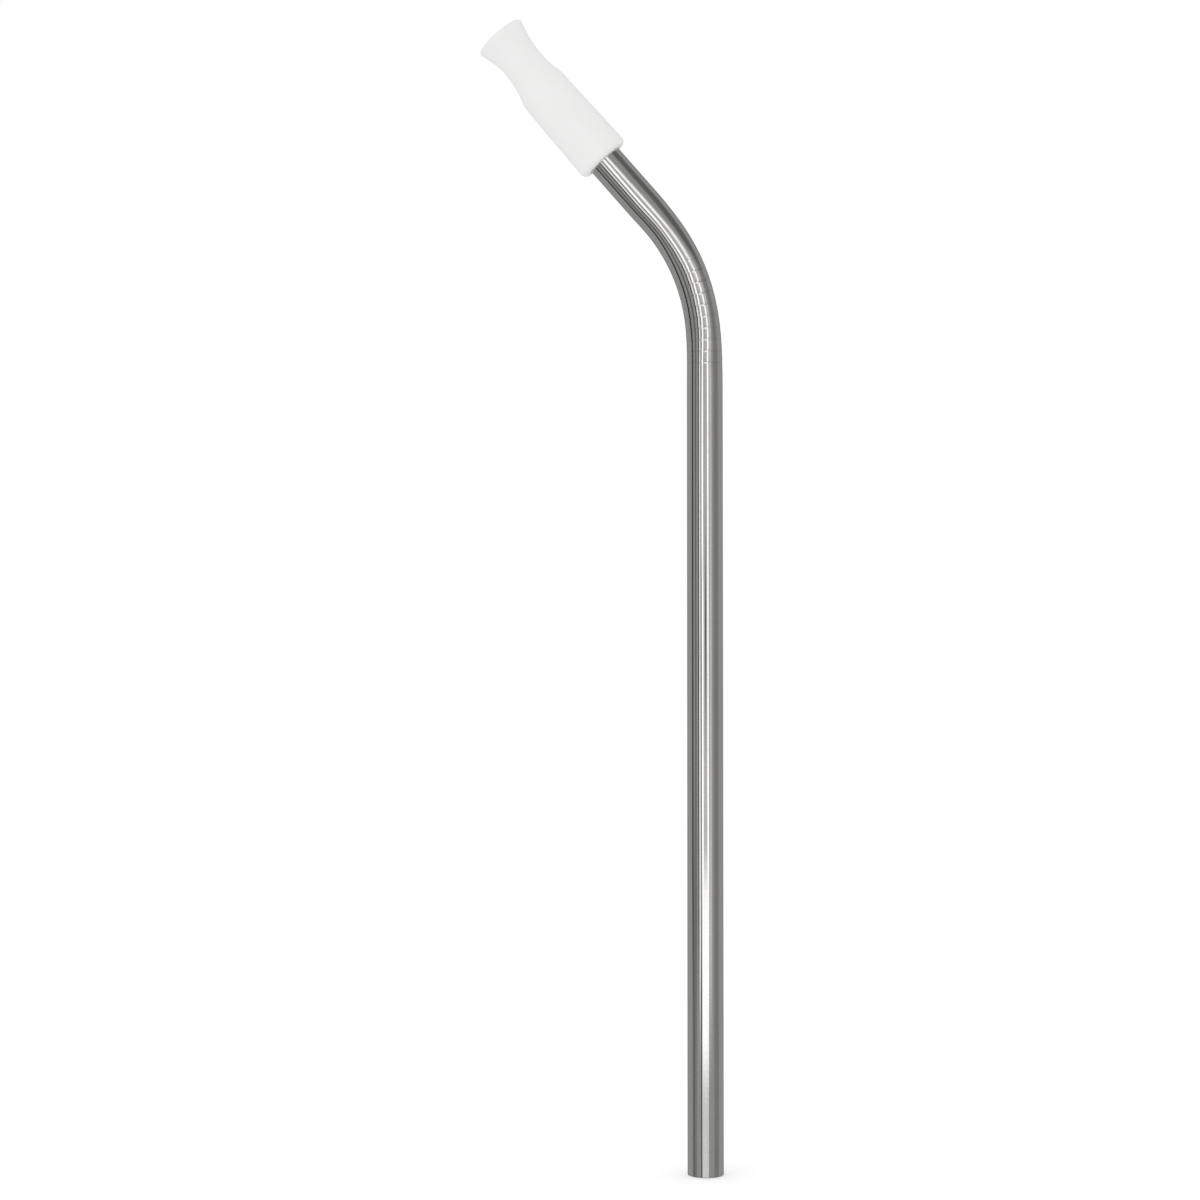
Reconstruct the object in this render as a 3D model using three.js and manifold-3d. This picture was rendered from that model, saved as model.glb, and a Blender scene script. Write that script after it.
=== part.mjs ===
// A bent stainless steel drinking straw with a push-on silicone mouth tip.
// Millimetres, +Z up. The straight leg stands on +Z with its lower end at the origin, and the bend
// leans the short arm towards -X, so the whole straw lies in the XZ plane.

import * as THREE from "three";
import { mergeVertices } from "three/addons/utils/BufferGeometryUtils.js";
import Module from "manifold-3d";

// Steel tube
const TUBE_RADIUS = 4.0;
const TUBE_WALL = 0.5;
const TUBE_SIDES = 40;
const TUBE_LENGTH = 252; // along the centre line, end to end
const EDGE_OUTER = 0.12; // deburred edge on both ends, outside
const EDGE_INNER = 0.08; // and inside

// Bend: the tube bender turns the tube slowly in, holds its radius, and lets it out again
const LEG_LENGTH = 172.4; // straight, up to the bend
const BEND_RADIUS = 43.1;
const BEND_RUN_IN = 22.9; // length over which the curvature grows
const BEND_STEADY = 15.7; // length at full curvature
const BEND_RUN_OUT = 8.5; // length over which it fades
const BEND_STEPS = 20;
const BEND_FLATTENING = 0.043; // how much narrower the bent tube is in the plane of the bend
const BEND_EGG = 0.115; // share by which it is wider outside the bend's middle, and narrower inside it
const EGG_GROWS = { start: 6.1, end: 17.6 }; // stretch past the straight leg where that shape grows
const EGG_FADES = { start: 28.1, end: 40.1 }; // and where it fades, before the curvature does

// Silicone tip, measured along its own axis from the end that the tube goes into
const TIP_LENGTH = 36.4;
const TIP_SIDES = 48;
const CURVE_STEPS = 6; // points along each curved stretch of its profile
const BASE_RADIUS = 6.13;
const BASE_ROUND = 1.2;
const SHOULDER_HEIGHT = 20.8;
const SHOULDER_RADIUS = 5.71;
const NECK_HEIGHT = 28.7;
const NECK_RADIUS = 4.54;
const MOUTH_RADIUS = 5.8;
const SHOULDER_PULL = { inwards: 0.74, up: 3.1 }; // handles of the waist's curves, from the shoulder
const NECK_PULL = { down: 3.65, up: 3.2 }; // from the neck
const MOUTH_PULL = { inwards: 0.25, down: 1.6 }; // and from the mouth
const LIP_ROUND = 0.65;
const SOCKET_DEPTH = 20.3;
const STOP_GAP = 0.3; // between the tube's end and the socket's stop
const SOCKET_RADIUS = TUBE_RADIUS + 0.12;
const SOCKET_LEAD_IN = 0.35;
const BORE_RADIUS = 3.3;
const BORE_LIP = 0.5;

// The soft tip leans a little back towards the leg above the tube's end
const LEAN_SHIFT = 0.65;
const LEAN_TURN = 0.03; // radians
const LEAN_START = 16.5;
const LEAN_END = 33;

// Finishes
const STEEL = { color: 0xb9b8b4, roughness: 0.16, metalness: 1.0 };
const SILICONE = { color: 0xeaeae8, roughness: 0.55, metalness: 0.0 };

const MERGE_DISTANCE = 1e-4; // vertices closer than this are one

const wasm = await Module();
wasm.setup();

// A closed three.js geometry as a solid that can be cut.
function solidOf(geometry) {
  const bare = geometry.clone();
  bare.deleteAttribute("normal");
  bare.deleteAttribute("uv");
  const merged = mergeVertices(bare, MERGE_DISTANCE);
  return new wasm.Manifold(
    new wasm.Mesh({
      numProp: 3,
      vertProperties: merged.attributes.position.array,
      triVerts: new Uint32Array(merged.index.array),
    }),
  );
}

// A cut solid as a three.js geometry again.
function geometryOf(solid) {
  const mesh = solid.getMesh();
  const geometry = new THREE.BufferGeometry();
  geometry.setAttribute("position", new THREE.BufferAttribute(mesh.vertProperties, 3));
  geometry.setIndex(new THREE.BufferAttribute(mesh.triVerts, 1));
  geometry.computeVertexNormals();
  return geometry;
}

// 0 below start, 1 above end, and a smooth ramp between them.
const ramp = (value, start, end) => THREE.MathUtils.smoothstep(value, start, end);

// Share of the bend's full curvature at a distance past the straight leg.
function curvatureShare(distance) {
  const steadyEnd = BEND_RUN_IN + BEND_STEADY;
  return ramp(distance, 0, BEND_RUN_IN) * (1 - ramp(distance, steadyEnd, steadyEnd + BEND_RUN_OUT));
}

// How far the section is an egg's shape at a distance past the straight leg.
function eggShape(distance) {
  const grown = ramp(distance, EGG_GROWS.start, EGG_GROWS.end);
  return BEND_EGG * grown * (1 - ramp(distance, EGG_FADES.start, EGG_FADES.end));
}

// Centre line of the tube as a row of stations: place, slope from vertical, share of the curvature, and
// the section's egg shape.
function tubeStations() {
  const stations = [{ x: 0, z: 0, slope: 0, share: 0, egg: 0 }];
  const here = { x: 0, z: LEG_LENGTH, slope: 0, share: 0, egg: 0 };
  stations.push({ ...here });
  const bendLength = BEND_RUN_IN + BEND_STEADY + BEND_RUN_OUT;
  const small = 20; // small moves in each step, for an accurate place
  const move = bendLength / BEND_STEPS / small;
  for (let step = 1; step <= BEND_STEPS * small; step++) {
    const turn = (curvatureShare((step - 0.5) * move) / BEND_RADIUS) * move;
    here.x -= Math.sin(here.slope + turn / 2) * move;
    here.z += Math.cos(here.slope + turn / 2) * move;
    here.slope += turn;
    here.share = curvatureShare(step * move);
    here.egg = eggShape(step * move);
    if (step % small === 0) stations.push({ ...here });
  }
  const armLength = TUBE_LENGTH - LEG_LENGTH - bendLength;
  here.x -= Math.sin(here.slope) * armLength;
  here.z += Math.cos(here.slope) * armLength;
  stations.push({ ...here });
  return stations;
}

// Points round the tube's wall at one station, at a radius of the straight tube. In the bend the section
// is narrower in the plane of the bend, and an egg's shape whose wide end is on the outside of the bend.
function ringAt({ x, z, slope, share, egg }, radius) {
  const inPlane = radius * (1 - BEND_FLATTENING * share);
  const across = radius * (1 + (BEND_FLATTENING / 2) * share);
  return Array.from({ length: TUBE_SIDES }, (_, side) => {
    const angle = (side / TUBE_SIDES) * 2 * Math.PI;
    const outwards = inPlane * Math.cos(angle);
    const sideways = across * Math.sin(angle) * (1 + egg * Math.cos(angle));
    return [x + outwards * Math.cos(slope), sideways, z + outwards * Math.sin(slope)];
  });
}

// The tube's closed surface: up the outside ring by ring, over the upper end, down the bore and over
// the lower end, which is where it started.
function sweptTube(stations) {
  const outside = stations.map((station) => ringAt(station, TUBE_RADIUS));
  const bore = stations.map((station) => ringAt(station, TUBE_RADIUS - TUBE_WALL)).reverse();
  const rings = [...outside, ...bore];
  const corners = [];
  for (let ring = 0; ring < rings.length; ring++) {
    const next = (ring + 1) % rings.length;
    for (let side = 0; side < TUBE_SIDES; side++) {
      const beside = (side + 1) % TUBE_SIDES;
      const here = ring * TUBE_SIDES + side;
      const right = ring * TUBE_SIDES + beside;
      const above = next * TUBE_SIDES + side;
      const across = next * TUBE_SIDES + beside;
      corners.push(here, right, across, here, across, above);
    }
  }
  const geometry = new THREE.BufferGeometry();
  geometry.setAttribute("position", new THREE.Float32BufferAttribute(rings.flat(2), 3));
  geometry.setIndex(corners);
  return geometry;
}

// The rings that deburring takes off one end: a chamfer outside and one inside.
// They lie round +Z with the tube's end face at z = 0 and the tube above it.
function deburringRings() {
  const spare = 0.5;
  const inner = TUBE_RADIUS - TUBE_WALL;
  const outside = [
    [TUBE_RADIUS - EDGE_OUTER - spare, -spare],
    [TUBE_RADIUS + spare, -spare],
    [TUBE_RADIUS + spare, EDGE_OUTER + spare],
  ];
  const inside = [
    [inner - spare, EDGE_INNER + spare],
    [inner - spare, -spare],
    [inner + EDGE_INNER + spare, -spare],
  ];
  return [outside, inside].map((corners) => {
    const profile = [...corners, corners[0]].map(([radius, height]) => new THREE.Vector2(radius, height));
    return new THREE.LatheGeometry(profile, TUBE_SIDES).rotateX(Math.PI / 2);
  });
}

// The bent tube, open at both ends, with its edges deburred.
function makeTubeGeometry(stations) {
  let tube = solidOf(sweptTube(stations));
  const end = stations.at(-1);
  for (const ring of deburringRings()) {
    const upper = ring.clone().rotateX(Math.PI).rotateY(-end.slope).translate(end.x, 0, end.z);
    tube = tube.subtract(solidOf(ring)).subtract(solidOf(upper));
  }
  return geometryOf(tube);
}

// Closed outline of the tip's wall: up the outside from the base to the lip, and down the inside.
function tipProfile() {
  const outline = new THREE.Path();
  outline.moveTo(SOCKET_RADIUS + SOCKET_LEAD_IN, 0);
  outline.lineTo(BASE_RADIUS - BASE_ROUND, 0);
  outline.absarc(BASE_RADIUS - BASE_ROUND, BASE_ROUND, BASE_ROUND, -Math.PI / 2, 0);
  outline.lineTo(SHOULDER_RADIUS, SHOULDER_HEIGHT);
  outline.bezierCurveTo(
    SHOULDER_RADIUS - SHOULDER_PULL.inwards,
    SHOULDER_HEIGHT + SHOULDER_PULL.up,
    NECK_RADIUS,
    NECK_HEIGHT - NECK_PULL.down,
    NECK_RADIUS,
    NECK_HEIGHT,
  );
  const lipHeight = TIP_LENGTH - LIP_ROUND;
  outline.bezierCurveTo(
    NECK_RADIUS,
    NECK_HEIGHT + NECK_PULL.up,
    MOUTH_RADIUS - MOUTH_PULL.inwards,
    lipHeight - MOUTH_PULL.down,
    MOUTH_RADIUS,
    lipHeight,
  );
  outline.absarc(MOUTH_RADIUS - LIP_ROUND, lipHeight, LIP_ROUND, 0, Math.PI / 2);
  outline.lineTo(BORE_RADIUS + BORE_LIP, TIP_LENGTH);
  outline.absarc(BORE_RADIUS + BORE_LIP, TIP_LENGTH - BORE_LIP, BORE_LIP, Math.PI / 2, Math.PI);
  outline.lineTo(BORE_RADIUS, SOCKET_DEPTH);
  outline.lineTo(SOCKET_RADIUS, SOCKET_DEPTH);
  outline.lineTo(SOCKET_RADIUS, SOCKET_LEAD_IN);
  outline.closePath();
  // Each stretch ends where the next one starts, so its last point is left to that one.
  const points = outline.curves.flatMap((stretch) =>
    stretch.getPoints(stretch.isLineCurve ? 1 : CURVE_STEPS).slice(0, -1),
  );
  return [...points, points[0]];
}

// Leans the soft tip: each level moves sideways and turns a little, in the plane of the bend.
function lean(geometry) {
  const place = geometry.attributes.position;
  for (let i = 0; i < place.count; i++) {
    const share = ramp(place.getZ(i), LEAN_START, LEAN_END);
    const side = place.getX(i);
    place.setX(i, side + LEAN_SHIFT * share);
    place.setZ(i, place.getZ(i) - side * Math.tan(LEAN_TURN * share));
  }
  return geometry;
}

// The mouth tip: a sleeve round the tube's end, a waisted neck and a flared mouth.
function makeTipGeometry() {
  return lean(new THREE.LatheGeometry(tipProfile(), TIP_SIDES).rotateX(Math.PI / 2));
}

// Makes a named mesh of one sub-part.
function subPart(name, geometry, finish) {
  const mesh = new THREE.Mesh(geometry, new THREE.MeshStandardMaterial(finish));
  mesh.name = name;
  return mesh;
}

const stations = tubeStations();
const straw = new THREE.Group();
straw.add(subPart("steel_tube", makeTubeGeometry(stations), STEEL));

// The tube's end lies just short of the socket's stop, so the tip's base is that far back down the arm.
const tubeEnd = stations.at(-1);
const overlap = SOCKET_DEPTH - STOP_GAP;
const onArm = new THREE.Group();
onArm.rotation.y = -tubeEnd.slope;
onArm.position.set(
  tubeEnd.x + Math.sin(tubeEnd.slope) * overlap,
  0,
  tubeEnd.z - Math.cos(tubeEnd.slope) * overlap,
);
onArm.add(subPart("silicone_tip", makeTipGeometry(), SILICONE));
straw.add(onArm);

export default straw;
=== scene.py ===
import math

import bpy
from mathutils import Matrix, Vector


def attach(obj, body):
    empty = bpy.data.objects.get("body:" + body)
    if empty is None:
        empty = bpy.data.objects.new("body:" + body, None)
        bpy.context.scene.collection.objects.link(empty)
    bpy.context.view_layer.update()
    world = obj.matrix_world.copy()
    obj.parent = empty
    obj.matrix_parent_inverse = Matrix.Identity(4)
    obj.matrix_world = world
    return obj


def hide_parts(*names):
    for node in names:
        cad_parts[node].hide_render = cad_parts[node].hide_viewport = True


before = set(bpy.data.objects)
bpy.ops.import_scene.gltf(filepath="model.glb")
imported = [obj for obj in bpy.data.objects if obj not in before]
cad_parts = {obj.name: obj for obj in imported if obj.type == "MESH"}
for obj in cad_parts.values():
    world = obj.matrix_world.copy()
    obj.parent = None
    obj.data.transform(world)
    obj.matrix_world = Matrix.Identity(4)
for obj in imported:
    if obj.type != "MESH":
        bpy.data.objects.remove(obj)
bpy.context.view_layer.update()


# Camera
# A long lens half a metre in front of the straw, level with the upper half of the leg. It stands a
# little to the left and is tilted up, so the leg is seen straight on and the short arm from below.
MM = 0.001  # metres
scene = bpy.context.scene
scene.view_settings.view_transform = "Standard"
camera_place = Vector((-61.07, -506.7, 105.23)) * MM
camera_turn = 0.0741  # radians to the right of straight ahead along +Y
camera_tilt = 0.042  # radians upwards
camera_roll = 0.00077  # radians

camera_data = bpy.data.cameras.new("camera")
camera_data.lens = 68.74  # millimetres
camera_data.sensor_width = 36.0
camera_data.clip_start = 0.01  # metres
camera_data.clip_end = 20.0
camera = bpy.data.objects.new("camera", camera_data)
camera.location = camera_place
turned = Matrix.Rotation(-camera_turn, 3, "Z") @ Matrix.Rotation(math.pi / 2 + camera_tilt, 3, "X")
camera.rotation_euler = (turned @ Matrix.Rotation(camera_roll, 3, "Z")).to_euler()
scene.collection.objects.link(camera)
scene.camera = camera


# Table and daylight
# A white table top without an edge in sight, under an even white sky and one weak soft lamp. The
# table shows the straw's soft shadow, and where it is open it is as white as the sky behind it.
table_size = 12.0  # metres
table_below = 0.1 * MM  # under the straw's end
table_colour = (0.96, 0.96, 0.96, 1.0)
table_glow = 0.07  # brings the open table up to white for the eye, with no light on the straw
lamp_power = 0.8  # watts
lamp_size = 0.6  # metres
lamp_place = Vector((-0.8, -0.8, 0.5))
lamp_target = Vector((0.0, 0.0, 0.13))


def plane_mesh(name, half):
    mesh = bpy.data.meshes.new(name)
    corners = [(-half, -half, 0.0), (half, -half, 0.0), (half, half, 0.0), (-half, half, 0.0)]
    mesh.from_pydata(corners, [], [(0, 1, 2, 3)])
    return mesh


def seen_by_eye(nodes, links):
    """1 where the camera sees a surface itself or in polished metal or clear material, otherwise 0."""
    path = nodes.new("ShaderNodeLightPath")
    eye_or_metal = nodes.new("ShaderNodeMath")
    eye_or_metal.operation = "MAXIMUM"
    links.new(path.outputs["Is Camera Ray"], eye_or_metal.inputs[0])
    links.new(path.outputs["Is Glossy Ray"], eye_or_metal.inputs[1])
    any_of_them = nodes.new("ShaderNodeMath")
    any_of_them.operation = "MAXIMUM"
    links.new(eye_or_metal.outputs[0], any_of_them.inputs[0])
    links.new(path.outputs["Is Transmission Ray"], any_of_them.inputs[1])
    return any_of_them.outputs[0]


table_paint = bpy.data.materials.new("white_table")
table_paint.use_nodes = True
nodes, links = table_paint.node_tree.nodes, table_paint.node_tree.links
nodes.clear()
matt = nodes.new("ShaderNodeBsdfDiffuse")
matt.inputs["Color"].default_value = table_colour
glow = nodes.new("ShaderNodeEmission")
glow_level = nodes.new("ShaderNodeMath")
glow_level.operation = "MULTIPLY"
glow_level.inputs[1].default_value = table_glow
links.new(seen_by_eye(nodes, links), glow_level.inputs[0])
links.new(glow_level.outputs[0], glow.inputs["Strength"])
both = nodes.new("ShaderNodeAddShader")
links.new(matt.outputs["BSDF"], both.inputs[0])
links.new(glow.outputs["Emission"], both.inputs[1])
table_out = nodes.new("ShaderNodeOutputMaterial")
links.new(both.outputs["Shader"], table_out.inputs["Surface"])
table_paint.cycles.emission_sampling = "NONE"

table = bpy.data.objects.new("table", plane_mesh("table", table_size / 2))
table.location = (0.0, 0.0, -table_below)
table.data.materials.append(table_paint)
table.visible_glossy = False
scene.collection.objects.link(table)

sky = bpy.data.worlds.new("white_sky")
sky.use_nodes = True
scene.world = sky
nodes, links = sky.node_tree.nodes, sky.node_tree.links
nodes.clear()
sky_colour = nodes.new("ShaderNodeBackground")
sky_colour.inputs["Color"].default_value = (1.0, 1.0, 1.0, 1.0)
sky_colour.inputs["Strength"].default_value = 1.0
sky_out = nodes.new("ShaderNodeOutputWorld")
links.new(sky_colour.outputs["Background"], sky_out.inputs["Surface"])

lamp_data = bpy.data.lights.new("soft_lamp", "AREA")
lamp_data.shape = "DISK"
lamp_data.size = lamp_size
lamp_data.energy = lamp_power
lamp = bpy.data.objects.new("soft_lamp", lamp_data)
lamp.location = lamp_place
lamp.rotation_euler = (lamp_target - lamp_place).to_track_quat("-Z", "Y").to_euler()
lamp.visible_glossy = False
scene.collection.objects.link(lamp)


# Studio that the polished steel reflects
# A round tent of cloth a quarter of a metre from the straw, with lit strips and dark flags hung on
# it. Only reflections show it: what gives a plain mirror-bright tube its lengthwise lines.
tent_radius = 250.0 * MM
tent_sides = 128
tent_bottom = -400.0 * MM
tent_top = 900.0 * MM
tent_cloth = 0.373

tent_mesh = bpy.data.meshes.new("reflection_tent")
tent_corners = []
for height in (tent_bottom, tent_top):
    for side in range(tent_sides):
        angle = 2 * math.pi * side / tent_sides
        tent_corners.append((tent_radius * math.cos(angle), tent_radius * math.sin(angle), height))
tent_faces = [tuple(range(tent_sides)), tuple(range(tent_sides, 2 * tent_sides))]
for side in range(tent_sides):
    beside = (side + 1) % tent_sides
    tent_faces.append((side, beside, tent_sides + beside, tent_sides + side))
tent_mesh.from_pydata(tent_corners, [], tent_faces)
tent = bpy.data.objects.new("reflection_tent", tent_mesh)
# Its front is turned to the camera, and its places are counted from there: degrees round it, and
# millimetres up.
tent.rotation_euler = (0.0, 0.0, math.atan2(camera_place.x, -camera_place.y))
tent.visible_camera = False
tent.visible_diffuse = False
tent.visible_transmission = False
tent.visible_volume_scatter = False
tent.visible_shadow = False
scene.collection.objects.link(tent)


def new_group(name, inputs, outputs):
    """An empty shader node group with named sockets, each given as name: kind of socket."""
    group = bpy.data.node_groups.new(name, "ShaderNodeTree")
    for label, kind in inputs.items():
        group.interface.new_socket(name=label, in_out="INPUT", socket_type="NodeSocket" + kind)
    for label, kind in outputs.items():
        group.interface.new_socket(name=label, in_out="OUTPUT", socket_type="NodeSocket" + kind)
    return group, group.nodes.new("NodeGroupInput"), group.nodes.new("NodeGroupOutput")


def maths(tree, operation, first, second=None):
    """A Math node. Each value is a number or another node's output."""
    node = tree.nodes.new("ShaderNodeMath")
    node.operation = operation
    for socket, value in zip(node.inputs, (first, second)):
        if isinstance(value, bpy.types.NodeSocket):
            tree.links.new(value, socket)
        elif value is not None:
            socket.default_value = value
    return node.outputs[0]


def edge(tree, value, place, fade):
    """0 before a place and 1 after it, with a soft change as wide as fade."""
    ramp = tree.nodes.new("ShaderNodeMapRange")
    ramp.interpolation_type = "SMOOTHSTEP"
    half = maths(tree, "MULTIPLY", fade, 0.5)
    tree.links.new(value, ramp.inputs["Value"])
    tree.links.new(maths(tree, "SUBTRACT", place, half), ramp.inputs["From Min"])
    tree.links.new(maths(tree, "ADD", place, half), ramp.inputs["From Max"])
    return ramp.outputs["Result"]


panel_group, given, result = new_group(
    "tent_panel",
    {
        "Behind": "Float",
        "Round": "Float",
        "Up": "Float",
        "Left": "Float",
        "Right": "Float",
        "Side Fade": "Float",
        "Bottom": "Float",
        "Top": "Float",
        "End Fade": "Float",
        "Brightness": "Float",
    },
    {"Light": "Float"},
)
panel_inputs = given.outputs
after_left = edge(panel_group, panel_inputs["Round"], panel_inputs["Left"], panel_inputs["Side Fade"])
after_right = edge(panel_group, panel_inputs["Round"], panel_inputs["Right"], panel_inputs["Side Fade"])
over_bottom = edge(panel_group, panel_inputs["Up"], panel_inputs["Bottom"], panel_inputs["End Fade"])
over_top = edge(panel_group, panel_inputs["Up"], panel_inputs["Top"], panel_inputs["End Fade"])
across_it = maths(panel_group, "SUBTRACT", after_left, after_right)
along_it = maths(panel_group, "SUBTRACT", over_bottom, over_top)
covers = maths(panel_group, "MULTIPLY", across_it, along_it)
layer = panel_group.nodes.new("ShaderNodeMix")
panel_group.links.new(covers, layer.inputs["Factor"])
panel_group.links.new(panel_inputs["Behind"], layer.inputs["A"])
panel_group.links.new(panel_inputs["Brightness"], layer.inputs["B"])
panel_group.links.new(layer.outputs["Result"], result.inputs["Light"])

tent_paint = bpy.data.materials.new("tent_light")
tent_paint.use_nodes = True
tent_paint.node_tree.nodes.clear()
tent_tree = tent_paint.node_tree
here = tent_tree.nodes.new("ShaderNodeTexCoord")
split = tent_tree.nodes.new("ShaderNodeSeparateXYZ")
tent_tree.links.new(here.outputs["Object"], split.inputs["Vector"])
towards_camera = maths(tent_tree, "MULTIPLY", split.outputs["Y"], -1.0)
degrees_round = maths(
    tent_tree, "DEGREES", maths(tent_tree, "ARCTAN2", split.outputs["X"], towards_camera)
)
millimetres_up = maths(tent_tree, "DIVIDE", split.outputs["Z"], MM)


def hang(behind, label, sides, heights, brightness):
    """Hangs a panel on the tent over what is behind it. Sides are left, right and how soft, in degrees
    round the tent; heights are bottom, top and how soft, in millimetres."""
    panel = tent_tree.nodes.new("ShaderNodeGroup")
    panel.node_tree = panel_group
    panel.label = label
    if isinstance(behind, bpy.types.NodeSocket):
        tent_tree.links.new(behind, panel.inputs["Behind"])
    else:
        panel.inputs["Behind"].default_value = behind
    tent_tree.links.new(degrees_round, panel.inputs["Round"])
    tent_tree.links.new(millimetres_up, panel.inputs["Up"])
    for socket, value in zip(("Left", "Right", "Side Fade"), sides):
        panel.inputs[socket].default_value = value
    for socket, value in zip(("Bottom", "Top", "End Fade"), heights):
        panel.inputs[socket].default_value = value
    panel.inputs["Brightness"].default_value = brightness
    return panel.outputs["Light"]


down, up = -700, 1200  # millimetres, beyond the tent's own ends
full_height = (down, up, 60)
light = hang(tent_cloth, "white strip behind, left half", (-200, -172, 6), full_height, 1.0)
light = hang(light, "white strip behind, right half", (172, 200, 6), full_height, 1.0)
light = hang(light, "flag behind, left half", (-167, -150, 5), full_height, 0.2)
light = hang(light, "flag behind, right half", (150, 167, 5), full_height, 0.2)
light = hang(light, "pale cloth in front", (-38, 43, 8), (0, 295, 60), 0.70)
light = hang(light, "right flag", (58, 93.5, 14), full_height, 0.25)
light = hang(light, "right flag's doubled top", (42.5, 97, 20), (342, up, 60), 0.15)
light = hang(light, "left flag", (-87.5, -56.5, 3), full_height, 0.25)
light = hang(light, "left flag's doubled foot", (-88, -71, 4), (down, 40, 60), 0.17)
light = hang(light, "pale line in the left flag", (-74.5, -69.5, 5), (68, up, 60), 0.46)
light = hang(light, "second left flag", (-63.5, -58, 3), (12, up, 60), 0.13)
light = hang(light, "left flag's rear edge", (-91, -82.8, 3), (22, up, 60), 0.0)
light = hang(light, "left flag's front edge", (-43.6, -37.9, 3), (10, 250, 55), 0.0)
light = hang(light, "narrow reflector", (-36.6, -31.8, 3), (5, 118, 40), 1.6)
light = hang(light, "narrow reflector, upper part", (-37.5, -32, 3), (118, 234, 50), 1.2)
light = hang(light, "grey beside it", (-27.5, -20, 3), (10, 234, 28), 0.36)
light = hang(light, "dark gap at its foot", (-27.5, -21.5, 4), (down, 22, 30), 0.03)
light = hang(light, "left strip light", (-18.8, -11, 3), (-20, 148, 28), 1.85)
light = hang(light, "left strip light, upper part", (-21, -12.5, 3), (148, 202, 18), 1.7)
light = hang(light, "left strip light, top", (-18.6, -11.5, 4), (199, 300, 16), 1.8)
light = hang(light, "right strip light", (13.5, 22, 3), (-20, 257, 13), 1.7)
light = hang(light, "dark seam beside it", (27, 30, 3), (60, 207, 40), 0.41)
light = hang(light, "right strip light, bent top", (6, 19, 5), (247, 273, 25), 1.5)
light = hang(light, "right strip light, end of its top", (-3.4, 8.6, 5), (237, 280, 26), 1.4)
light = hang(light, "grey over the gap", (-11, -3.6, 6), (203, 245, 12), 0.50)
light = hang(light, "gap between the strip lights", (-5.6, 10.5, 20), (88, 219, 43), 0.52)
light = hang(light, "dark round the lens", (0, 7, 5), (105, 150, 50), 0.04)
light = hang(light, "white board below the camera", (-20.5, 20.5, 3), (down, 0, 30), 0.84)
light = hang(light, "lit upper part of that board", (-19, 18.5, 4), (-17, 47, 25), 1.5)

# The eye sees the tent in the steel. Light that the steel throws on the rubber is the plain white
# sky's.
path = tent_tree.nodes.new("ShaderNodeLightPath")
from_rubber = maths(tent_tree, "GREATER_THAN", path.outputs["Diffuse Depth"], 0.5)
sky_or_tent = tent_tree.nodes.new("ShaderNodeMix")
tent_tree.links.new(from_rubber, sky_or_tent.inputs["Factor"])
tent_tree.links.new(light, sky_or_tent.inputs["A"])
sky_or_tent.inputs["B"].default_value = 1.0

tent_glow = tent_tree.nodes.new("ShaderNodeEmission")
tent_tree.links.new(sky_or_tent.outputs["Result"], tent_glow.inputs["Strength"])
tent_out = tent_tree.nodes.new("ShaderNodeOutputMaterial")
tent_tree.links.new(tent_glow.outputs["Emission"], tent_out.inputs["Surface"])
tent_paint.cycles.emission_sampling = "NONE"
tent_mesh.materials.append(tent_paint)


# Steel tube
# One stainless steel drinking tube, drawn, cut to length, deburred inside and out and polished along
# its length. It is bent cold once, and the bender's balls leave ten faint rings round the bend.
tube_radius = 4.0 * MM
tube_wall = 0.5 * MM
tube_length = 252.0 * MM
tube_sides = 120
rim_outer = 0.12 * MM  # rounding of the deburred edges
rim_inner = 0.08 * MM
rim_steps = 4
leg_length = 172.4 * MM
bend_radius = 43.1 * MM
bend_run_in = 22.9 * MM  # length over which the curvature grows
bend_steady = 15.7 * MM
bend_run_out = 8.5 * MM
bend_flattening = 0.043  # narrower in the plane of the bend
bend_egg = 0.115  # wider outside the bend's middle, and narrower inside it
egg_grows = (6.1 * MM, 17.6 * MM)  # stretch past the straight leg where that shape grows
egg_fades = (28.1 * MM, 40.1 * MM)
ring_first = 179.4 * MM  # along the tube
ring_spacing = 2.58 * MM
ring_count = 10
ring_half_width = 0.24 * MM
ring_depth = 0.028 * MM
ring_end_share = 0.3  # the last ring's share of that depth, and each one before it has as much more
bend_length = bend_run_in + bend_steady + bend_run_out
arm_start = leg_length + bend_length
fine_move = 0.05 * MM  # with which the bend's centre line is drawn
leg_step = 8.0 * MM  # between the points along the leg, the bend, the arm and a ring's groove
bend_step = 1.0 * MM
bend_step_count = 50
arm_step = 4.0 * MM
groove_step = 0.09 * MM
groove_steps = 6  # to each side of a ring
least_step = 0.03 * MM


def smooth_ramp(value, start, end):
    share = min(max((value - start) / (end - start), 0.0), 1.0)
    return share * share * (3.0 - 2.0 * share)


def curvature_share(distance):
    """Share of the bend's full curvature at a distance past the straight leg."""
    steady_end = bend_run_in + bend_steady
    fading = smooth_ramp(distance, steady_end, steady_end + bend_run_out)
    return smooth_ramp(distance, 0.0, bend_run_in) * (1.0 - fading)


# Centre line of the bend in small moves: (distance past the leg, x, z, slope from vertical).
bend_line = [(0.0, 0.0, leg_length, 0.0)]
bend_moves = round(bend_length / fine_move)
for move in range(bend_moves):
    distance, x, z, slope = bend_line[-1]
    step = bend_length / bend_moves
    turn = curvature_share(distance + step / 2) / bend_radius * step
    x -= math.sin(slope + turn / 2) * step
    z += math.cos(slope + turn / 2) * step
    bend_line.append((distance + step, x, z, slope + turn))


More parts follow.
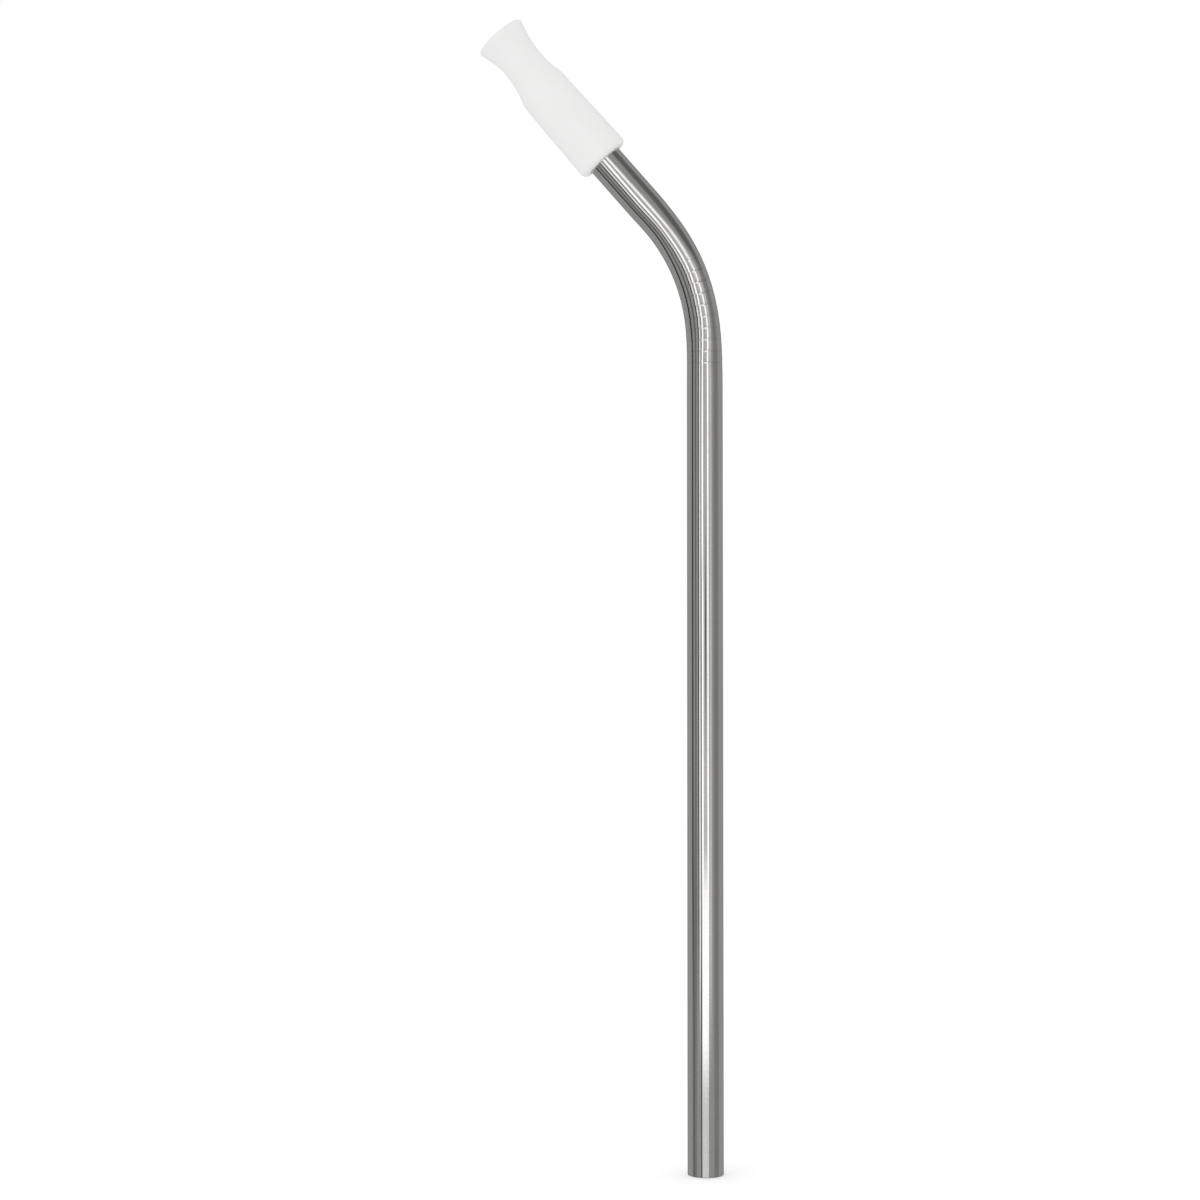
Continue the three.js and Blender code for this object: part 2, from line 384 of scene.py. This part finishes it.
def on_centre_line(along):
    """Place and slope from vertical of the centre line at a length along the tube."""
    if along <= leg_length:
        return Vector((0.0, 0.0, along)), 0.0
    distance = along - leg_length
    if distance >= bend_length:
        _, x, z, slope = bend_line[-1]
        rest = distance - bend_length
        return Vector((x - math.sin(slope) * rest, 0.0, z + math.cos(slope) * rest)), slope
    position = distance / bend_length * bend_moves
    before = min(int(position), bend_moves - 1)
    share = position - before
    values = [a + (b - a) * share for a, b in zip(bend_line[before], bend_line[before + 1])]
    return Vector((values[1], 0.0, values[2])), values[3]


def ring_dent(along):
    """How deep the bender's rings press the outside at a length along the tube."""
    deepest = 0.0
    for ring in range(ring_count):
        off = (along - ring_first - ring * ring_spacing) / ring_half_width
        end_share = min(ring_end_share * (ring_count - ring), 1.0)
        deepest = max(deepest, ring_depth * end_share * math.exp(-off * off))
    return deepest


def tube_point(along, radius, angle):
    """A point of the tube's wall. The angle is 0 on the outside of the bend."""
    centre, slope = on_centre_line(along)
    distance = along - leg_length
    share = curvature_share(distance)
    egg = bend_egg * smooth_ramp(distance, *egg_grows) * (1.0 - smooth_ramp(distance, *egg_fades))
    in_plane = radius * (1.0 - bend_flattening * share)
    across = radius * (1.0 + bend_flattening / 2 * share)
    outwards = in_plane * math.cos(angle)
    sideways = across * math.sin(angle) * (1.0 + egg * math.cos(angle))
    return centre + Vector((outwards * math.cos(slope), sideways, outwards * math.sin(slope)))


# Lengths along the tube that get points all round: close ones in the bend, and closer at the rings.
leg_points = [i * leg_step for i in range(1, int(leg_length / leg_step) + 1)]
bend_points = [leg_length + i * bend_step for i in range(bend_step_count)]
arm_points = [arm_start + i * arm_step for i in range(1, int((tube_length - arm_start) / arm_step))]
ring_points = [
    ring_first + ring * ring_spacing + i * groove_step
    for ring in range(ring_count)
    for i in range(-groove_steps, groove_steps + 1)
]


def spread_out(lengths):
    """The lengths in order, without those that nearly repeat another."""
    kept = []
    for along in sorted(lengths):
        if not kept or along - kept[-1] > least_step:
            kept.append(along)
    return kept


def rounded_edge(end, side, radius, rounding, leaving):
    """Points of a rounded edge as (length along the tube, radius). End is the place of the end face and
    side is 1 at the upper end and -1 at the lower; rounding is positive outside and negative inside.
    Leaving is true where the outline comes along the wall and turns onto the end face."""
    points = []
    for i in range(rim_steps + 1):
        angle = math.pi / 2 * i / rim_steps
        if not leaving:
            angle = math.pi / 2 - angle
        along = end - side * abs(rounding) * (1.0 - math.sin(angle))
        points.append((along, radius - rounding * (1.0 - math.cos(angle))))
    return points


# The wall's outline, once round: up the outside, over the upper end, down the bore, over the lower end.
bore_radius = tube_radius - tube_wall
wall_outline = rounded_edge(0.0, -1, tube_radius, rim_outer, leaving=False)
for along in spread_out(leg_points + bend_points + arm_points + ring_points):
    wall_outline.append((along, tube_radius - ring_dent(along)))
wall_outline += rounded_edge(tube_length, 1, tube_radius, rim_outer, leaving=True)
wall_outline += rounded_edge(tube_length, 1, bore_radius, -rim_inner, leaving=False)
for along in reversed(spread_out(leg_points + bend_points + arm_points)):
    wall_outline.append((along, bore_radius))
wall_outline += rounded_edge(0.0, -1, bore_radius, -rim_inner, leaving=True)


def ring_faces(rows, sides):
    """Faces of a closed surface of rings of points, the last ring joined to the first."""
    faces = []
    for row in range(rows):
        above = (row + 1) % rows
        for side in range(sides):
            beside = (side + 1) % sides
            faces.append(
                (row * sides + side, row * sides + beside, above * sides + beside, above * sides + side)
            )
    return faces


def smooth_object(name, points, faces, place_name, places):
    """A smooth mesh object whose points also know their place on the unbent piece."""
    mesh = bpy.data.meshes.new(name)
    mesh.from_pydata(points, [], faces)
    mesh.polygons.foreach_set("use_smooth", [True] * len(mesh.polygons))
    attribute = mesh.attributes.new(place_name, "FLOAT_VECTOR", "POINT")
    attribute.data.foreach_set("vector", [number for place in places for number in place])
    mesh.update()
    piece = bpy.data.objects.new(name, mesh)
    scene.collection.objects.link(piece)
    return piece


tube_points = []
tube_places = []
for along, radius in wall_outline:
    for side in range(tube_sides):
        angle = 2 * math.pi * side / tube_sides
        tube_points.append(tube_point(along, radius, angle))
        tube_places.append((radius * math.cos(angle), radius * math.sin(angle), along))
tube = smooth_object(
    "straw_tube", tube_points, ring_faces(len(wall_outline), tube_sides), "place_on_tube", tube_places
)


def vector_of(tree, attribute_name, stretch):
    """A point attribute in millimetres, each axis divided by a stretch in millimetres."""
    source = tree.nodes.new("ShaderNodeAttribute")
    source.attribute_name = attribute_name
    scaled = tree.nodes.new("ShaderNodeVectorMath")
    scaled.operation = "MULTIPLY"
    scaled.inputs[1].default_value = [1.0 / (MM * size) for size in stretch]
    tree.links.new(source.outputs["Vector"], scaled.inputs[0])
    return scaled.outputs["Vector"]


def noise(tree, vector, detail=2.0, roughness=0.5):
    node = tree.nodes.new("ShaderNodeTexNoise")
    node.inputs["Scale"].default_value = 1.0
    node.inputs["Detail"].default_value = detail
    node.inputs["Roughness"].default_value = roughness
    tree.links.new(vector, node.inputs["Vector"])
    return node.outputs[0]


def map_to(tree, value, low, high, to_low=0.0, to_high=1.0, smooth=True):
    """Maps a value from low..high to to_low..to_high, and holds it there beyond them."""
    node = tree.nodes.new("ShaderNodeMapRange")
    node.interpolation_type = "SMOOTHSTEP" if smooth else "LINEAR"
    node.inputs["From Min"].default_value = low
    node.inputs["From Max"].default_value = high
    node.inputs["To Min"].default_value = to_low
    node.inputs["To Max"].default_value = to_high
    tree.links.new(value, node.inputs["Value"])
    return node.outputs["Result"]


def mixed_colour(tree, factor, first, second):
    """A colour between two. Each is a plain colour or another node's output."""
    node = tree.nodes.new("ShaderNodeMix")
    node.data_type = "RGBA"
    sockets = [socket for socket in node.inputs if socket.enabled]
    tree.links.new(factor, sockets[0])
    for socket, value in zip(sockets[1:], (first, second)):
        if isinstance(value, bpy.types.NodeSocket):
            tree.links.new(value, socket)
        else:
            socket.default_value = (*value, 1.0)
    return [socket for socket in node.outputs if socket.enabled][0]


# Cloudy marks of handling and small dots of dust or pits, on the metal and on the rubber alike.
cloud_group, given, result = new_group(
    "handling_clouds", {"Place": "Vector", "Least": "Float", "Most": "Float"}, {"Clouds": "Float"}
)
cloud_noise = noise(cloud_group, given.outputs["Place"], detail=4.0, roughness=0.6)
cloud_ramp = cloud_group.nodes.new("ShaderNodeMapRange")
cloud_ramp.interpolation_type = "SMOOTHSTEP"
cloud_group.links.new(cloud_noise, cloud_ramp.inputs["Value"])
cloud_group.links.new(given.outputs["Least"], cloud_ramp.inputs["From Min"])
cloud_group.links.new(given.outputs["Most"], cloud_ramp.inputs["From Max"])
cloud_group.links.new(cloud_ramp.outputs["Result"], result.inputs["Clouds"])

dot_group, given, result = new_group(
    "small_dots", {"Place": "Vector", "Dot Size": "Float"}, {"Dots": "Float"}
)
dot_cells = dot_group.nodes.new("ShaderNodeTexVoronoi")
dot_cells.inputs["Scale"].default_value = 1.0
dot_group.links.new(given.outputs["Place"], dot_cells.inputs["Vector"])
dot_ramp = dot_group.nodes.new("ShaderNodeMapRange")
dot_ramp.interpolation_type = "SMOOTHSTEP"
dot_ramp.inputs["From Min"].default_value = 0.0
dot_ramp.inputs["To Min"].default_value = 1.0
dot_ramp.inputs["To Max"].default_value = 0.0
dot_group.links.new(dot_cells.outputs["Distance"], dot_ramp.inputs["Value"])
dot_group.links.new(given.outputs["Dot Size"], dot_ramp.inputs["From Max"])
dot_group.links.new(dot_ramp.outputs["Result"], result.inputs["Dots"])


def placed_group(tree, group, vector, **values):
    """A node group in a material, with its own values. Their names have _ for each space."""
    node = tree.nodes.new("ShaderNodeGroup")
    node.node_tree = group
    tree.links.new(vector, node.inputs["Place"])
    for label, value in values.items():
        node.inputs[label.replace("_", " ")].default_value = value
    return node.outputs[0]


steel_pale_spot = (0.706, 0.700, 0.682)
steel_dark_spot = (0.630, 0.624, 0.608)
steel_dull = (0.630, 0.622, 0.602)
steel_in_bore = (0.46, 0.45, 0.43)
# Darker steel in the bender's rings: painted shade in their grooves.
steel_shaded_in_ring = (0.48, 0.47, 0.45)
# Sizes of the marks in millimetres: twice across the tube and once along it.
fine_line_size = (0.11, 0.11, 14.0)
broad_line_size = (0.7, 0.7, 45.0)
cloud_size = (3.0, 3.0, 6.0)
grain_size = (0.32, 0.32, 0.36)
pit_spacing = (1.3, 1.3, 1.7)
ripple_size = (2.5, 2.5, 0.45)
# Places along the tube in millimetres, where the stretched metal and the rims begin and end.
stretch_begins = (173.0, 183.0)
stretch_ends = (208.0, 219.0)
foot_rim_ends = (0.05, 0.22)
top_rim_begins = (251.8, 251.95)
bore_ends = (3.56, 3.74)  # millimetres from the centre line
# Shares of a colour: dull metal in the clouds, painted shade in the rings, and bore metal on the rims.
dull_share = 0.6
ring_shade_share = 0.4
ring_shade_reach = 1.4  # in half widths of a ring
rim_share = 0.5
# Roughness of the polish, and what each mark adds to it.
steel_roughness = 0.055
roughness_of_lines = 0.04
roughness_of_clouds = 0.035
roughness_of_stretch = 0.02
roughness_of_bore = 0.22
# Heights in thousandths of a millimetre.
micron = 0.001 * MM
fine_line_height = 0.25
broad_line_height = 1.2
ripple_height = 1.6
pit_height = -1.5
noise_low, noise_high = 0.3, 0.7  # between which nearly all of a noise lies

steel = bpy.data.materials.new("polished_steel")
steel.use_nodes = True
tree = steel.node_tree
shader = tree.nodes["Principled BSDF"]
shader.inputs["Metallic"].default_value = 1.0

# Drawn and polished: fine lines along the tube, with longer soft ones under them.
fine_lines = noise(tree, vector_of(tree, "place_on_tube", fine_line_size), detail=3.0)
broad_lines = noise(tree, vector_of(tree, "place_on_tube", broad_line_size), detail=1.0)
cloud_place = vector_of(tree, "place_on_tube", cloud_size)
clouds = placed_group(tree, cloud_group, cloud_place, Least=0.48, Most=0.72)
# What is left of the drawn metal's grain: small spots, paler and darker.
grain = noise(tree, vector_of(tree, "place_on_tube", grain_size), detail=1.0)
pits = placed_group(tree, dot_group, vector_of(tree, "place_on_tube", pit_spacing), Dot_Size=0.045)
# Stretched in the bend: short ripples round the tube, where the polish has opened a little.
ripples = noise(tree, vector_of(tree, "place_on_tube", ripple_size), detail=2.0)
split = tree.nodes.new("ShaderNodeSeparateXYZ")
tree.links.new(vector_of(tree, "place_on_tube", (1.0, 1.0, 1.0)), split.inputs["Vector"])
across_x, across_y, along_tube = split.outputs
into_bend = map_to(tree, along_tube, *stretch_begins)
out_of_bend = map_to(tree, along_tube, *stretch_ends)
in_bend = maths(tree, "SUBTRACT", into_bend, out_of_bend)
# The bore and the deburred rims were never polished.
x_squared = maths(tree, "MULTIPLY", across_x, across_x)
y_squared = maths(tree, "MULTIPLY", across_y, across_y)
off_centre = maths(tree, "SQRT", maths(tree, "ADD", x_squared, y_squared))
in_bore = map_to(tree, off_centre, *bore_ends, 1.0, 0.0)
at_foot = map_to(tree, along_tube, *foot_rim_ends, 1.0, 0.0)
at_top = map_to(tree, along_tube, *top_rim_begins)
at_rim = maths(tree, "MAXIMUM", at_foot, at_top)
unpolished = maths(tree, "MAXIMUM", in_bore, maths(tree, "MULTIPLY", at_rim, rim_share))

# Painted shade in the bender's rings, a darker colour in their grooves: how near the nearest ring is,
# and how strong it is.
past_first_ring = maths(tree, "SUBTRACT", along_tube, ring_first / MM)
ring_steps = maths(tree, "DIVIDE", past_first_ring, ring_spacing / MM)
from_first_ring = maths(tree, "MAXIMUM", ring_steps, 0.0)
to_last_ring = maths(tree, "MINIMUM", from_first_ring, ring_count - 1)
nearest_ring = maths(tree, "ROUND", to_last_ring)
off_ring = maths(tree, "ABSOLUTE", maths(tree, "SUBTRACT", ring_steps, nearest_ring))
on_ring = map_to(tree, off_ring, 0.0, ring_shade_reach * ring_half_width / ring_spacing, 1.0, 0.0)
rings_left = maths(tree, "SUBTRACT", ring_count, nearest_ring)
ring_strength = maths(tree, "MINIMUM", maths(tree, "MULTIPLY", rings_left, ring_end_share), 1.0)
ring_shade = maths(tree, "MULTIPLY", maths(tree, "MULTIPLY", on_ring, ring_strength), ring_shade_share)

dulled = maths(tree, "MULTIPLY", clouds, dull_share)
spots = map_to(tree, grain, noise_low, noise_high, smooth=False)
grain_colour = mixed_colour(tree, spots, steel_dark_spot, steel_pale_spot)
clean_colour = mixed_colour(tree, dulled, grain_colour, steel_dull)
# The rings' grooves get a darker colour: painted shade.
outside_colour = mixed_colour(tree, ring_shade, clean_colour, steel_shaded_in_ring)
steel_colour = mixed_colour(tree, unpolished, outside_colour, steel_in_bore)
tree.links.new(steel_colour, shader.inputs["Base Color"])

# A noise is a half on average, so half of what the lines add comes off the plain roughness.
line_roughness = maths(tree, "MULTIPLY", fine_lines, roughness_of_lines)
cloud_roughness = maths(tree, "MULTIPLY", clouds, roughness_of_clouds)
bend_roughness = maths(tree, "MULTIPLY", in_bend, roughness_of_stretch)
bore_roughness = maths(tree, "MULTIPLY", unpolished, roughness_of_bore)
drawn_roughness = maths(tree, "ADD", line_roughness, cloud_roughness)
worked_roughness = maths(tree, "ADD", drawn_roughness, bend_roughness)
plain_roughness = steel_roughness - roughness_of_lines / 2
polished_roughness = maths(tree, "ADD", worked_roughness, plain_roughness)
tree.links.new(maths(tree, "ADD", polished_roughness, bore_roughness), shader.inputs["Roughness"])

line_relief = maths(tree, "MULTIPLY", fine_lines, fine_line_height)
wave_relief = maths(tree, "MULTIPLY", broad_lines, broad_line_height)
ripple_relief = maths(tree, "MULTIPLY", maths(tree, "MULTIPLY", ripples, in_bend), ripple_height)
pit_relief = maths(tree, "MULTIPLY", pits, pit_height)
lengthwise_relief = maths(tree, "ADD", line_relief, wave_relief)
local_relief = maths(tree, "ADD", ripple_relief, pit_relief)
bump = tree.nodes.new("ShaderNodeBump")
bump.inputs["Distance"].default_value = micron
bump.inputs["Strength"].default_value = 1.0
tree.links.new(maths(tree, "ADD", lengthwise_relief, local_relief), bump.inputs["Height"])
tree.links.new(bump.outputs["Normal"], shader.inputs["Normal"])
tube.data.materials.append(steel)

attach(tube, "straw")
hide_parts("steel_tube")


# Silicone tip
# One soft sleeve moulded in white silicone rubber, with a satin skin. It is pushed 20 mm over the
# tube's upper end against a step, and narrows to a waist before the rounded, flared mouth.
tip_length = 36.4 * MM
tip_sides = 112
base_radius = 6.13 * MM
base_round = 1.2 * MM
shoulder_height = 20.8 * MM
shoulder_radius = 5.71 * MM
shoulder_pull = (0.74 * MM, 3.1 * MM)  # inwards and up: handle of the waist's curve
neck_height = 28.7 * MM
neck_radius = 4.54 * MM
neck_pull_down = 3.65 * MM
neck_pull_up = 3.2 * MM
mouth_radius = 5.8 * MM
mouth_pull = (0.25 * MM, 1.6 * MM)  # inwards and down
lip_round = 0.65 * MM
socket_depth = 20.3 * MM
stop_gap = 0.3 * MM  # between the tube's end and the step
socket_clearance = 0.03 * MM
socket_radius = tube_radius + socket_clearance
socket_lead_in = 0.3 * MM
tip_bore_radius = 3.3 * MM
bore_lip = 0.5 * MM
tip_curve_steps = 14
tip_arc_steps = 7
tip_side_steps = 12
tip_bore_steps = 10
tip_socket_steps = 6
lean_shift = 0.65 * MM  # the mouth's shift towards the leg's side, and its turn in radians
lean_turn = 0.03
lean_start = 16.5 * MM  # heights in the sleeve between which it comes to that
lean_end = 33.0 * MM


def arc(centre_radius, centre_height, size, start, end):
    """Points of a rounded corner of the profile as (radius, height), angles in degrees."""
    points = []
    for i in range(tip_arc_steps + 1):
        angle = math.radians(start + (end - start) * i / tip_arc_steps)
        points.append((centre_radius + size * math.cos(angle), centre_height + size * math.sin(angle)))
    return points


def curve(start, pull_out, pull_in, end):
    """Points of a curve between two points with two handles, without its ends."""
    points = []
    for i in range(1, tip_curve_steps):
        t = i / tip_curve_steps
        weights = ((1 - t) ** 3, 3 * t * (1 - t) ** 2, 3 * t * t * (1 - t), t**3)
        corners = (start, pull_out, pull_in, end)
        radius = sum(weight * corner[0] for weight, corner in zip(weights, corners))
        points.append((radius, sum(weight * corner[1] for weight, corner in zip(weights, corners))))
    return points


def evenly(start, end, count):
    """Points of a straight stretch, without its ends."""
    return [
        (start[0] + (end[0] - start[0]) * i / count, start[1] + (end[1] - start[1]) * i / count)
        for i in range(1, count)
    ]


# The sleeve's outline, once round: base, side, waist, mouth, bore, step and socket.
lip_height = tip_length - lip_round
shoulder = (shoulder_radius, shoulder_height)
neck = (neck_radius, neck_height)
mouth = (mouth_radius, lip_height)
tip_outline = arc(base_radius - base_round, base_round, base_round, -90, 0)
tip_outline += evenly((base_radius, base_round), shoulder, tip_side_steps)
tip_outline += [shoulder]
tip_outline += curve(
    shoulder,
    (shoulder_radius - shoulder_pull[0], shoulder_height + shoulder_pull[1]),
    (neck_radius, neck_height - neck_pull_down),
    neck,
)
tip_outline += [neck]
tip_outline += curve(
    neck,
    (neck_radius, neck_height + neck_pull_up),
    (mouth_radius - mouth_pull[0], lip_height - mouth_pull[1]),
    mouth,
)
tip_outline += arc(mouth_radius - lip_round, lip_height, lip_round, 0, 90)
tip_outline += arc(tip_bore_radius + bore_lip, tip_length - bore_lip, bore_lip, 90, 180)
bore_top = (tip_bore_radius, tip_length - bore_lip)
bore_bottom = (tip_bore_radius, socket_depth)
socket_top = (socket_radius, socket_depth)
socket_bottom = (socket_radius, socket_lead_in)
tip_outline += evenly(bore_top, bore_bottom, tip_bore_steps)
tip_outline += [bore_bottom, socket_top]
tip_outline += evenly(socket_top, socket_bottom, tip_socket_steps)
tip_outline += arc(socket_radius + socket_lead_in, socket_lead_in, socket_lead_in, 180, 270)

# The tip's base stands back down the arm from the tube's end, by the depth of the socket.
tip_base, arm_slope = on_centre_line(tube_length - socket_depth + stop_gap)
onto_arm = Matrix.Translation(tip_base) @ Matrix.Rotation(-arm_slope, 4, "Y")
tip_points = []
tip_places = []
for radius, height in tip_outline:
    for side in range(tip_sides):
        angle = 2 * math.pi * side / tip_sides
        x, y = radius * math.cos(angle), radius * math.sin(angle)
        tip_places.append((x, y, height))
        share = smooth_ramp(height, lean_start, lean_end)
        leaning = Vector((x + lean_shift * share, y, height - x * math.tan(lean_turn * share)))
        tip_points.append(onto_arm @ leaning)
tip = smooth_object(
    "mouth_tip", tip_points, ring_faces(len(tip_outline), tip_sides), "place_on_tip", tip_places
)

silicone_pale = (0.828, 0.828, 0.824)
silicone_warm = (0.816, 0.815, 0.807)
dust_colour = (0.55, 0.54, 0.52)
dust_share = 0.12
# Sizes of the marks in millimetres: twice across the tip and once along it.
warm_patch_size = (4.0, 4.0, 7.0)
dust_spacing = (2.2, 2.2, 2.6)
skin_size = (0.09, 0.09, 0.09)
dent_size = (3.0, 3.0, 5.0)
# Roughness of the skin, and what the patches add to it.
silicone_roughness = (0.46, 0.56)
roughness_of_patches = 0.06
# Heights in thousandths of a millimetre.
skin_height = 1.1
dent_height = 8.0
dust_height = 6.0

silicone = bpy.data.materials.new("satin_silicone")
silicone.use_nodes = True
tree = silicone.node_tree
shader = tree.nodes["Principled BSDF"]
shader.inputs["IOR"].default_value = 1.41
shader.inputs["Specular IOR Level"].default_value = 0.3

# Moulded and much handled: slightly warmer patches and a little dust on an even satin skin.
patch_place = vector_of(tree, "place_on_tip", warm_patch_size)
patches = placed_group(tree, cloud_group, patch_place, Least=0.40, Most=0.68)
dust = placed_group(tree, dot_group, vector_of(tree, "place_on_tip", dust_spacing), Dot_Size=0.035)
skin = noise(tree, vector_of(tree, "place_on_tip", skin_size), detail=2.0)
soft_dents = noise(tree, vector_of(tree, "place_on_tip", dent_size), detail=1.0)
clean_colour = mixed_colour(tree, patches, silicone_pale, silicone_warm)
dusted = maths(tree, "MULTIPLY", dust, dust_share)
tree.links.new(mixed_colour(tree, dusted, clean_colour, dust_colour), shader.inputs["Base Color"])

skin_roughness = map_to(tree, skin, noise_low, noise_high, *silicone_roughness, smooth=False)
patch_roughness = maths(tree, "MULTIPLY", patches, roughness_of_patches)
tree.links.new(maths(tree, "ADD", skin_roughness, patch_roughness), shader.inputs["Roughness"])

skin_relief = maths(tree, "MULTIPLY", skin, skin_height)
dent_relief = maths(tree, "MULTIPLY", soft_dents, dent_height)
dust_relief = maths(tree, "MULTIPLY", dust, dust_height)
dent_and_dust_relief = maths(tree, "ADD", dent_relief, dust_relief)
bump = tree.nodes.new("ShaderNodeBump")
bump.inputs["Distance"].default_value = micron
bump.inputs["Strength"].default_value = 1.0
tree.links.new(maths(tree, "ADD", skin_relief, dent_and_dust_relief), bump.inputs["Height"])
tree.links.new(bump.outputs["Normal"], shader.inputs["Normal"])
tip.data.materials.append(silicone)

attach(tip, "tip")
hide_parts("silicone_tip")
